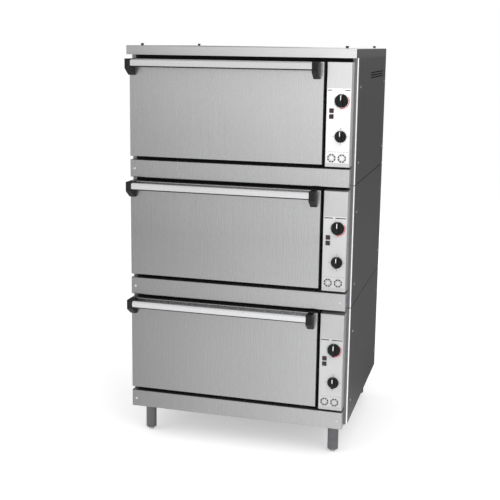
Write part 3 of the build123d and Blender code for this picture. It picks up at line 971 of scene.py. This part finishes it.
@dataclass
class TurningKnob:
    """Round control knob with a scalloped skirt, a bar grip and a white pointer line."""

    node: str
    body: str
    panel_gap: float = 0.001
    lap: float = 0.0004
    scallops: int = 16
    sides_per_scallop: int = 8
    scallop_share: float = 0.45
    scallop_depth: float = 0.965
    skirt_depth: float = 0.005
    skirt_taper: float = 0.97
    skirt_bevel: float = 0.0005
    hub_share: float = 0.76
    hub_taper: float = 0.68
    hub_depth: float = 0.004
    hub_bevel: float = 0.0008
    grip_width: float = 0.0135
    grip_share: float = 0.94
    grip_taper: tuple[float, float, float] = (0.72, 1, 0.9)
    grip_front: float = 0.001
    grip_bevel: float = 0.0022
    shaft_radius: float = 0.003
    shaft_sides: int = 24
    shaft_lap: float = 0.001
    shaft_bevel: float = 0.0004
    pointer_width: float = 0.0026
    pointer_depth: float = 0.0004
    pointer_bevel: float = 0.0002
    line_span: tuple[float, float] = (0.12, 0.82)
    mark_span: tuple[float, float] = (0.88, 0.95)
    mark_share: float = 0.8
    radius: float = field(init=False)
    middle: Vector = field(init=False)
    front: float = field(init=False)
    back: float = field(init=False)
    end: float = field(init=False)

    def __post_init__(self) -> None:
        """Read the knob's place from its node and its panel."""
        low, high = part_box(self.node)
        self.radius = (high.x - low.x) / 2
        self.middle = Vector(((low.x + high.x) / 2, 0, (low.z + high.z) / 2))
        self.front, self.end = low.y, high.y
        self.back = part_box("control_panel_" + self.node.rsplit("_", 1)[1])[0].y - self.panel_gap

    def build(self, finishes: Finishes) -> bpy.types.Object:
        """Model the knob in the place of its node.

        Args:
            finishes: The material source.

        Returns:
            The finished knob.
        """
        black, white = finishes.of(KNOB_BLACK), finishes.of(POINTER_WHITE)
        pieces = [dressed(piece, black) for piece in (self.skirt(), self.hub(), self.grip(), self.shaft())]
        pieces += [dressed(stripe, white) for stripe in self.pointer()]
        knob = joined("dressed_" + self.node, pieces)
        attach(knob, self.body)
        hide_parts(self.node)
        return knob

    def at(self, y: float) -> Vector:
        """Give the point of the knob's axis at a Y."""
        return Vector((self.middle.x, y, self.middle.z))

    def in_scallop(self, point: Vector) -> bool:
        """Say whether a rim point lies in a scallop."""
        turn = math.atan2(point.x - self.middle.x, point.z - self.middle.z) / math.tau * self.scallops
        return turn % 1.0 < self.scallop_share

    def skirt(self) -> bpy.types.Object:
        """Make the scalloped disc against the panel.

        Returns:
            The disc.
        """
        centre = self.at(self.back - self.skirt_depth / 2)
        skirt = drum(
            "skirt", centre, self.radius, self.radius * self.skirt_taper, self.skirt_depth,
            self.scallops * self.sides_per_scallop,
        )
        squeeze = (self.scallop_depth, 1, self.scallop_depth)
        edit_part(
            skirt, self.in_scallop,
            lambda: bpy.ops.transform.resize(value=squeeze, center_override=centre), "VERT",
        )
        return softened(skirt, self.skirt_bevel, 2)

    def hub(self) -> bpy.types.Object:
        """Make the tapered boss between skirt and grip.

        Returns:
            The boss.
        """
        centre = self.at(self.back - self.skirt_depth - self.hub_depth / 2 + self.lap)
        base, tip = self.radius * self.hub_share, self.radius * self.hub_taper
        return softened(drum("hub", centre, base, tip, self.hub_depth), self.hub_bevel, 2)

    def grip(self) -> bpy.types.Object:
        """Make the bar that the fingers turn, narrower towards the front.

        Returns:
            The bar.
        """
        half = Vector((self.grip_width / 2, 0, self.radius * self.grip_share))
        tip = self.at(self.front)
        grip = slab("grip", tip - half, self.at(self.back - self.skirt_depth + self.lap) + half)
        edit_part(
            grip, lambda point: point.y < self.front + self.grip_front,
            lambda: bpy.ops.transform.resize(value=self.grip_taper, center_override=tip),
        )
        return softened(grip, self.grip_bevel, 4)

    def shaft(self) -> bpy.types.Object:
        """Make the shaft behind the knob.

        Returns:
            The shaft.
        """
        centre = self.at((self.back + self.end - self.shaft_lap) / 2)
        depth = self.end - self.back + self.shaft_lap
        shaft = drum("shaft", centre, self.shaft_radius, self.shaft_radius, depth, self.shaft_sides)
        return softened(shaft, self.shaft_bevel, 2)

    def pointer(self) -> list[bpy.types.Object]:
        """Make the white line on the grip and its mark on the skirt.

        Returns:
            The line and the mark.
        """
        half, depth = self.pointer_width / 2, self.pointer_depth
        skirt_front = self.back - self.skirt_depth
        stripes = []
        for name, half_width, face, proud, (start, end) in (
            ("pointer_line", half, self.front, depth / 4, self.line_span),
            ("pointer_mark", half * self.mark_share, skirt_front, depth / 2, self.mark_span),
        ):
            low = self.middle + Vector((-half_width, face - proud, self.radius * start))
            high = self.middle + Vector((half_width, face + depth, self.radius * end))
            stripes.append(softened(slab(name, low, high), self.pointer_bevel, 2))
        return stripes


@dataclass
class PilotLamps:
    """Square lamps: a black bezel, a ribbed smoked lens and the barrel behind the panel."""

    size: float = 0.015
    top: float = 0.263
    pitch: float = 0.020
    from_left: float = 0.0185
    per_tier: int = 2
    seating: float = 0.0002
    rim_share: float = 0.8
    well_front: float = 0.0005
    well_depth: float = 0.0008
    bezel_bevel: float = 0.0004
    lens_share: float = 0.66
    rib_count: int = 4
    rib_span: tuple[float, float] = (0.0002, 0.0012)
    rib_bevel: float = 0.0005
    barrel_half: float = 0.006
    barrel_bevel: float = 0.0008
    front: float = field(init=False)
    end: float = field(init=False)

    def __post_init__(self) -> None:
        """Read the lamps' front and back from their node."""
        low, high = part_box("pilot_lamps")
        self.front, self.end = low.y, high.y

    def build(self, finishes: Finishes, bases: Sequence[float]) -> list[bpy.types.Object]:
        """Model every lamp.

        Args:
            finishes: The material source.
            bases: Height of each tier's bottom.

        Returns:
            The lamps.
        """
        lamps = []
        for tier, base in zip(TIERS, bases):
            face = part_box("control_panel_" + tier)[0]
            for index in range(self.per_tier):
                centre = Vector((face.x + self.from_left, face.y, base + self.top - index * self.pitch))
                lamps.append(self.lamp(finishes, f"lamp_{tier}_{index + 1}", centre))
        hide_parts("pilot_lamps")
        return lamps

    def lamp(self, finishes: Finishes, name: str, centre: Vector) -> bpy.types.Object:
        """Model one lamp.

        Args:
            finishes: The material source.
            name: The lamp's name.
            centre: Its middle, on the panel's face.

        Returns:
            The lamp.
        """
        black = finishes.of(BLACK_PLASTIC)
        pieces = [dressed(self.bezel(centre), black)]
        pieces += [dressed(rib, finishes.of(LAMP_LENS)) for rib in self.ribs(centre)]
        half = Vector((self.barrel_half, 0, self.barrel_half))
        barrel = slab("barrel", centre - half, Vector((centre.x, self.end, centre.z)) + half)
        pieces.append(dressed(softened(barrel, self.barrel_bevel, 2), black))
        lamp = joined(name, pieces)
        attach(lamp, CABINET)
        return lamp

    def bezel(self, centre: Vector) -> bpy.types.Object:
        """Make the frame of one lamp, with a well for the lens.

        Args:
            centre: The lamp's middle, on the panel's face.

        Returns:
            The frame.
        """
        half = self.size / 2
        low = Vector((centre.x - half, self.front, centre.z - half))
        bezel = slab("bezel", low, centre + Vector((half, self.seating, half)))
        rim = half * (1 - self.lens_share) * self.rim_share
        edit_part(
            bezel, lambda point: point.y < self.front + self.well_front,
            lambda: (
                bpy.ops.mesh.inset(thickness=rim),
                bpy.ops.transform.translate(value=(0, self.well_depth, 0)),
            ),
        )
        return softened(bezel, self.bezel_bevel, 2)

    def ribs(self, centre: Vector) -> list[bpy.types.Object]:
        """Make the ribs of one lens, from the bottom up.

        Args:
            centre: The lamp's middle, on the panel's face.

        Returns:
            The ribs.
        """
        reach = self.size / 2 * self.lens_share
        height = 2 * reach / self.rib_count
        start, end = (self.front + y for y in self.rib_span)
        ribs = []
        for index in range(self.rib_count):
            bottom = centre.z - reach + index * height
            low = Vector((centre.x - reach, start, bottom))
            high = Vector((centre.x + reach, end, bottom + height))
            ribs.append(softened(slab("rib", low, high), self.rib_bevel, 3))
        return ribs


@dataclass
class ControlPlate:
    """White plate on the control panel and the plain marks printed on it.

    Angles round a knob are clock angles in degrees from the top, and an arc is its inner radius, its
    outer radius, the angle where it starts and the angle that it covers.
    """

    tier: str
    base: float
    rule_lengths: tuple[float, float]
    margin: float = 0.0022
    bottom: float = 0.084
    top: float = 0.338
    thickness: float = 0.0006
    plate_bevel: float = 0.0003
    relief: float = 0.00016
    dot_sides: int = 20
    knob_height: float = 0.2965
    heat_arc: tuple[float, float, float, float] = (0.0252, 0.0276, 60, 130)
    warm_arc: tuple[float, float, float, float] = (0.0254, 0.0262, 200, 105)
    tick_radii: tuple[float, float] = (0.0243, 0.0252)
    tick_sweep: float = 4.0
    dial_clocks: range = range(-120, 181, 50)
    heat_clock: float = 40.0
    left_figure_radius: float = 0.0300
    right_figure_radius: float = 0.0293
    dial_figure_size: float = 0.0040
    index_radius: float = 0.0345
    index_dot: float = 0.0012
    switch_height: float = 0.175
    switch_clocks: range = range(0, 360, 90)
    switch_dot_radius: float = 0.0238
    switch_dot: float = 0.0010
    switch_figure_radius: float = 0.0285
    switch_figure_size: float = 0.0055
    side_inset: float = 0.004
    rule_height: float = 0.332
    rule_width: float = 0.0032
    dash_count: int = 7
    dash_start: float = 0.006
    dash_pitch: float = 0.0105
    dash_length: float = 0.0055
    dash_height: float = 0.1225
    dash_width: float = 0.0013
    ring_height: float = 0.1005
    ring_offsets: tuple[float, float] = (0.0225, 0.0587)
    ring_starts: range = range(5, 365, 45)
    ring_radii: tuple[float, float] = (0.0100, 0.0148)
    ring_sweep: float = 35.0
    inner_ring: tuple[float, float, float, float] = (0.0072, 0.0080, 0, 358)
    left: float = field(init=False)
    right: float = field(init=False)
    face: float = field(init=False)
    knob_x: float = field(init=False)

    def __post_init__(self) -> None:
        """Read the panel's sides and face, and the knobs' middle."""
        low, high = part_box("control_panel_" + self.tier)
        self.left, self.right = low.x, high.x
        self.face = low.y - self.thickness
        knob_low, knob_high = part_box("thermostat_knob_" + self.tier)
        self.knob_x = (knob_low.x + knob_high.x) / 2

    def build(self, finishes: Finishes) -> list[bpy.types.Object]:
        """Model the plate and its print.

        Args:
            finishes: The material source.

        Returns:
            The plate and the joined print.
        """
        rear = Vector((0, 2 * self.thickness, 0))
        plate = slab(
            "control_plate_" + self.tier, self.spot(self.left + self.margin, self.bottom),
            self.spot(self.right - self.margin, self.top) + rear,
        )
        softened(dressed(plate, finishes.of(PLATE_WHITE)), self.plate_bevel, 2)
        marks = self.dial(finishes) + self.switch_marks(finishes)
        marks += self.rules(finishes) + self.rings(finishes)
        print_piece = joined("panel_print_" + self.tier, marks)
        for piece in (plate, print_piece):
            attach(piece, CABINET)
        return [plate, print_piece]

    def spot(self, x: float, height: float) -> Vector:
        """Give a point on the plate's face."""
        return Vector((x, self.face, self.base + height))

    def around(self, height: float, radius: float, clock: float) -> tuple[float, float]:
        """Give x and height at a clock angle round a knob."""
        angle = math.radians(clock)
        return self.knob_x + radius * math.sin(angle), height + radius * math.cos(angle)

    def rule(self, x0: float, x1: float, height: float, width: float) -> bpy.types.Object:
        """Make a thin printed line.

        Args:
            x0: Its left end.
            x1: Its right end.
            height: Height of its middle over the tier's bottom.
            width: Its width.

        Returns:
            The line.
        """
        proud = Vector((0, self.relief / 2, 0))
        low, high = self.spot(x0, height - width / 2), self.spot(x1, height + width / 2)
        return softened(slab("rule", low - proud, high + proud), self.relief / 3, 1)

    def dot(self, x: float, height: float, radius: float) -> bpy.types.Object:
        """Make a small printed disc."""
        disc = drum("dot", self.spot(x, height), radius, radius, self.relief, self.dot_sides)
        return softened(disc, self.relief / 4, 1)

    def dial(self, finishes: Finishes) -> list[bpy.types.Object]:
        """Make the thermostat's figures, ticks and red heat arc.

        Args:
            finishes: The material source.

        Returns:
            The marks.
        """
        centre = self.spot(self.knob_x, self.knob_height)
        pieces = [
            dressed(arc_ribbon(centre, *self.heat_arc, self.relief), finishes.ink(Ink.RED)),
            dressed(arc_ribbon(centre, *self.warm_arc, self.relief), finishes.ink(Ink.TEAL)),
        ]
        for index, clock in enumerate(self.dial_clocks):
            start = clock - self.tick_sweep / 2
            tick = arc_ribbon(centre, *self.tick_radii, start, self.tick_sweep, self.relief)
            pieces.append(dressed(tick, finishes.ink(Ink.BLACK)))
            radius = self.right_figure_radius if clock > 0 else self.left_figure_radius
            ink = Ink.TEAL if clock < 0 else Ink.GREY if clock < self.heat_clock else Ink.RED
            spot = self.spot(*self.around(self.knob_height, radius, clock))
            figure = lettering(str(index), spot, self.dial_figure_size, self.relief)
            pieces.append(dressed(figure, finishes.ink(ink)))
        dot = self.dot(self.knob_x, self.knob_height + self.index_radius, self.index_dot)
        return [*pieces, dressed(dot, finishes.ink(Ink.GREY))]

    def switch_marks(self, finishes: Finishes) -> list[bpy.types.Object]:
        """Make the switch's position dots and figures.

        Args:
            finishes: The material source.

        Returns:
            The marks.
        """
        pieces = []
        for index, clock in enumerate(self.switch_clocks):
            x, height = self.around(self.switch_height, self.switch_dot_radius, clock)
            pieces.append(self.dot(x, height, self.switch_dot))
            spot = self.spot(*self.around(self.switch_height, self.switch_figure_radius, clock))
            pieces.append(lettering(str(index), spot, self.switch_figure_size, self.relief))
        return [dressed(piece, finishes.ink(Ink.BLACK)) for piece in pieces]

    def rules(self, finishes: Finishes) -> list[bpy.types.Object]:
        """Make the two rules over the dial and the row of dashes low down.

        Args:
            finishes: The material source.

        Returns:
            The lines.
        """
        left, right = self.left + self.side_inset, self.right - self.side_inset
        spans = ((left, left + self.rule_lengths[0]), (right - self.rule_lengths[1], right))
        pieces = [
            dressed(self.rule(*span, self.rule_height, self.rule_width), finishes.ink(Ink.BLACK))
            for span in spans
        ]
        for index in range(self.dash_count):
            x = left + self.dash_start + index * self.dash_pitch
            dash = self.rule(x, x + self.dash_length, self.dash_height, self.dash_width)
            pieces.append(dressed(dash, finishes.ink(Ink.GREY)))
        return pieces

    def rings(self, finishes: Finishes) -> list[bpy.types.Object]:
        """Make the two plain broken rings near the bottom.

        Args:
            finishes: The material source.

        Returns:
            The arcs of both rings.
        """
        pieces = []
        for offset in self.ring_offsets:
            centre = self.spot(self.left + offset, self.ring_height)
            for start in self.ring_starts:
                outer = arc_ribbon(centre, *self.ring_radii, start, self.ring_sweep, self.relief)
                pieces.append(dressed(outer, finishes.ink(Ink.BLACK)))
            inner = arc_ribbon(centre, *self.inner_ring, self.relief)
            pieces.append(dressed(inner, finishes.ink(Ink.GREY)))
        return pieces


@dataclass
class RearLouvres:
    """Pressed hoods over the vent slots of a back panel."""

    tier: str
    rows: int = 6
    pitch: float = 0.014
    bottom: float = 0.290
    length: float = 0.076
    height: float = 0.009
    depth: float = 0.006
    inset: float = 0.062
    seating: float = 0.0002
    top_edge: float = 0.001
    top_squeeze: tuple[float, float, float] = (0.94, 0.2, 1)
    bevel: float = 0.0012

    def build(self, finishes: Finishes, base: float) -> bpy.types.Object:
        """Model the hoods of one tier.

        Args:
            finishes: The material source.
            base: Height of the tier's bottom.

        Returns:
            The joined hoods.
        """
        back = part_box("back_panel_" + self.tier)[1].y
        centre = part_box("casing_" + self.tier)[1].x - self.inset
        hoods = []
        for row in range(self.rows):
            z = base + self.bottom + row * self.pitch
            hood = slab(
                "hood", Vector((centre - self.length / 2, back - self.seating, z)),
                Vector((centre + self.length / 2, back + self.depth, z + self.height)),
            )
            edge = Vector((centre, back, z + self.height))
            edit_part(
                hood, lambda point: point.z > edge.z - self.top_edge,
                lambda: bpy.ops.transform.resize(value=self.top_squeeze, center_override=edge),
            )
            hoods.append(dressed(softened(hood, self.bevel, 3), finishes.of(SHADED_SIDE_STEEL)))
        louvres = joined("rear_louvres_" + self.tier, hoods)
        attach(louvres, CABINET)
        return louvres


@dataclass
class RearFittings:
    """Dome screws round a back panel, and a blank rating plate with rivets on the lowest one."""

    tier: str
    with_plate: bool
    columns: int = 4
    edge: float = 0.016
    screw_radius: float = 0.0042
    screw_height: float = 0.0018
    screw_sides: int = 32
    screw_taper: float = 0.72
    screw_seating: float = 0.0002
    recess_face: float = 0.9
    recess_rim: float = 0.45
    recess_depth: float = 0.35
    dome_bevel: float = 0.18
    plate_size: tuple[float, float] = (0.090, 0.054)
    plate_height: float = 0.200
    plate_thickness: float = 0.0008
    rivet_radius: float = 0.0018

    def build(self, finishes: Finishes) -> bpy.types.Object:
        """Model the fittings of one tier.

        Args:
            finishes: The material source.

        Returns:
            The joined fittings.
        """
        low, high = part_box("back_panel_" + self.tier)
        left, right = low.x + self.edge, high.x - self.edge
        pieces = []
        for z in (low.z + self.edge, high.z - self.edge):
            for column in range(self.columns):
                spot = Vector((left + (right - left) * column / (self.columns - 1), high.y, z))
                pieces.append(self.dome(finishes, spot, self.screw_radius, self.screw_height))
        if self.with_plate:
            pieces += self.rating_plate(finishes, Vector((0, high.y, low.z + self.plate_height)))
        fittings = joined("rear_fittings_" + self.tier, pieces)
        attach(fittings, CABINET)
        return fittings

    def dome(self, finishes: Finishes, place: Vector, radius: float, height: float) -> bpy.types.Object:
        """Make one low dome with a round recess, for a screw or a rivet.

        Args:
            finishes: The material source.
            place: Its middle, on the face that carries it.
            radius: Its radius at that face.
            height: Its height.

        Returns:
            The dome.
        """
        centre = place + Vector((0, height / 2, 0))
        depth = height + self.screw_seating
        dome = drum("dome", centre, radius * self.screw_taper, radius, depth, self.screw_sides)
        edit_part(
            dome, lambda point: point.y > place.y + height * self.recess_face,
            lambda: (
                bpy.ops.mesh.inset(thickness=radius * self.recess_rim),
                bpy.ops.transform.translate(value=(0, -height * self.recess_depth, 0)),
            ),
        )
        return dressed(softened(dome, height * self.dome_bevel, 2), finishes.of(SCREW))

    def rating_plate(self, finishes: Finishes, place: Vector) -> list[bpy.types.Object]:
        """Make the blank rating plate and its four rivets.

        Args:
            finishes: The material source.
            place: The plate's middle, on the back panel.

        Returns:
            The plate and the rivets.
        """
        half = Vector((self.plate_size[0] / 2, 0, self.plate_size[1] / 2))
        sheet = slab("rating_plate", place - half, place + half + Vector((0, self.plate_thickness, 0)))
        pieces = [dressed(softened(sheet, self.plate_thickness / 3, 2), finishes.of(PANEL_STEEL))]
        x, z = half.x - 2 * self.rivet_radius, half.z - 2 * self.rivet_radius
        for side_x, side_z in ((-1, -1), (-1, 1), (1, -1), (1, 1)):
            spot = place + Vector((side_x * x, self.plate_thickness, side_z * z))
            pieces.append(self.dome(finishes, spot, self.rivet_radius, self.rivet_radius / 2))
        return pieces


# Studio


@dataclass(frozen=True)
class SoftLamp:
    """One soft square lamp, with its side in metres and its power in watts."""

    name: str
    place: tuple[float, float, float]
    size: float
    power: float

    def build(self, target: Vector) -> None:
        """Hang the lamp.

        Args:
            target: The point that it faces.
        """
        data = bpy.data.lights.new(self.name, "AREA")
        data.size = self.size
        data.energy = self.power
        lamp = bpy.data.objects.new(self.name, data)
        bpy.context.scene.collection.objects.link(lamp)
        lamp.location = self.place
        lamp.rotation_mode = "QUATERNION"
        lamp.rotation_quaternion = (target - Vector(self.place)).to_track_quat("-Z", "Y")


@dataclass(frozen=True)
class Studio:
    """Pale floor, soft lights and the camera at the photograph's viewing angle.

    The floor and the world show white to the camera, and are dimmer towards the back for everything else.
    """

    camera_place: tuple[float, float, float] = (0.9308, -3.5752, 1.4863)
    camera_heading: float = 15.25
    camera_tilt: float = 10.47
    camera_roll: float = 0.78
    focal_pixels: float = 955.9
    axis_row: float = 220.0
    image_size: float = 500.0
    sensor: float = 36.0
    lamps: tuple[SoftLamp, ...] = (
        SoftLamp("key_light", (2.6, -3.2, 3.0), 2.4, 46),
        SoftLamp("left_fill", (-3.4, -2.6, 2.0), 3.0, 20),
        SoftLamp("rear_fill", (0.6, 3.8, 3.0), 3.0, 26),
    )
    lamp_target: tuple[float, float, float] = (0.0, 0.0, 0.75)
    floor_half: float = 7.0
    floor_colour: Colour = (0.90, 0.90, 0.90)
    floor_patch: Colour = (0.93, 0.93, 0.93)
    floor_roughness: float = 0.6
    floor_patch_size: float = 0.8
    floor_glow: float = 0.4
    back_level: float = 0.2
    floor_fall: tuple[float, float] = (-0.5, 0.6)
    world_fall: tuple[float, float] = (-0.1, 0.6)

    def build(self) -> None:
        """Set the camera, world, floor and lamps."""
        self.camera()
        self.world()
        self.floor()
        for lamp in self.lamps:
            lamp.build(Vector(self.lamp_target))
        bpy.context.scene.view_settings.view_transform = "Standard"

    def camera(self) -> None:
        """Place the camera."""
        data = bpy.data.cameras.new("camera")
        data.sensor_width = self.sensor
        data.lens = self.focal_pixels / self.image_size * self.sensor
        data.shift_y = (self.axis_row - self.image_size / 2) / self.image_size
        camera = bpy.data.objects.new("camera", data)
        bpy.context.scene.collection.objects.link(camera)
        heading, tilt = math.radians(self.camera_heading), math.radians(self.camera_tilt)
        level = math.cos(tilt)
        forward = Vector((-math.sin(heading) * level, math.cos(heading) * level, -math.sin(tilt)))
        roll = Quaternion((0, 0, 1), math.radians(self.camera_roll))
        camera.rotation_mode = "QUATERNION"
        camera.rotation_quaternion = forward.to_track_quat("-Z", "Y") @ roll
        camera.location = self.camera_place
        bpy.context.scene.camera = camera

    def world(self) -> None:
        """Light the scene softly from all round."""
        world = bpy.data.worlds.new("studio")
        bpy.context.scene.world = world
        world.use_nodes = True
        tree = world.node_tree
        light = tree.nodes["Background"]
        light.inputs["Color"].default_value = (1, 1, 1, 1)
        place = tree.nodes.new("ShaderNodeTexCoord").outputs["Generated"]
        feed(tree, light.inputs["Strength"], self.level(tree, place, self.world_fall))

    def level(
        self, tree: bpy.types.NodeTree, place: bpy.types.NodeSocket, fall: tuple[float, float]
    ) -> bpy.types.NodeSocket:
        """Give a light level that falls towards the back of the room.

        Args:
            tree: The node tree to add to.
            place: The coordinates to read.
            fall: The two Y between which it falls.

        Returns:
            The level, 1 at the front and in all that the camera sees itself.
        """
        depth = split(tree, place).outputs["Y"]
        room = mapped(tree, depth, *fall, low=1.0, high=self.back_level, smooth=True)
        path = tree.nodes.new("ShaderNodeLightPath")
        return math_node(tree, "MAXIMUM", path.outputs["Is Camera Ray"], room)

    def floor(self) -> None:
        """Lay the pale floor."""
        deselect()
        bpy.ops.mesh.primitive_plane_add(size=2 * self.floor_half)
        floor = settle("floor")
        bench = Bench("pale_floor", self.floor_colour, self.floor_roughness, 0.0)
        patches = bench.effect("smudge", Size=self.floor_patch_size)
        level = self.level(bench.tree, bench.place, self.floor_fall)
        paint = bench.blend(patches["Mask"], self.floor_colour, self.floor_patch)
        bench.plain("Base Color", bench.blend(level, NO_LIGHT, paint))
        bench.plain("Emission Color", (1, 1, 1, 1))
        bench.plain("Emission Strength", math_node(bench.tree, "MULTIPLY", level, self.floor_glow))
        dressed(floor, bench.material)


def main() -> None:
    """Dress the frame, add the modelled pieces and set the studio."""
    logging.basicConfig(level=logging.INFO, format="%(message)s")
    finishes = Finishes()
    log.info("dressed %d nodes", finishes.dress_frame(frame["nodes"]))
    bases = [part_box("apron_" + tier)[0].z for tier in TIERS]
    pieces = []
    for tier, base in zip(TIERS, bases):
        for kind in ("thermostat", "switch"):
            pieces.append(TurningKnob(f"{kind}_knob_{tier}", f"{kind}_{tier}").build(finishes))
        rule_lengths = SHORT_RULES if tier == TIERS[-1] else LONG_RULES
        pieces += ControlPlate(tier, base, rule_lengths).build(finishes)
        pieces.append(RearLouvres(tier).build(finishes, base))
        pieces.append(RearFittings(tier, with_plate=tier == TIERS[0]).build(finishes))
    pieces += PilotLamps().build(finishes, bases)
    for piece in pieces:
        log.info("%s", piece.name)
    Studio().build()


if __name__ == "__main__":
    main()
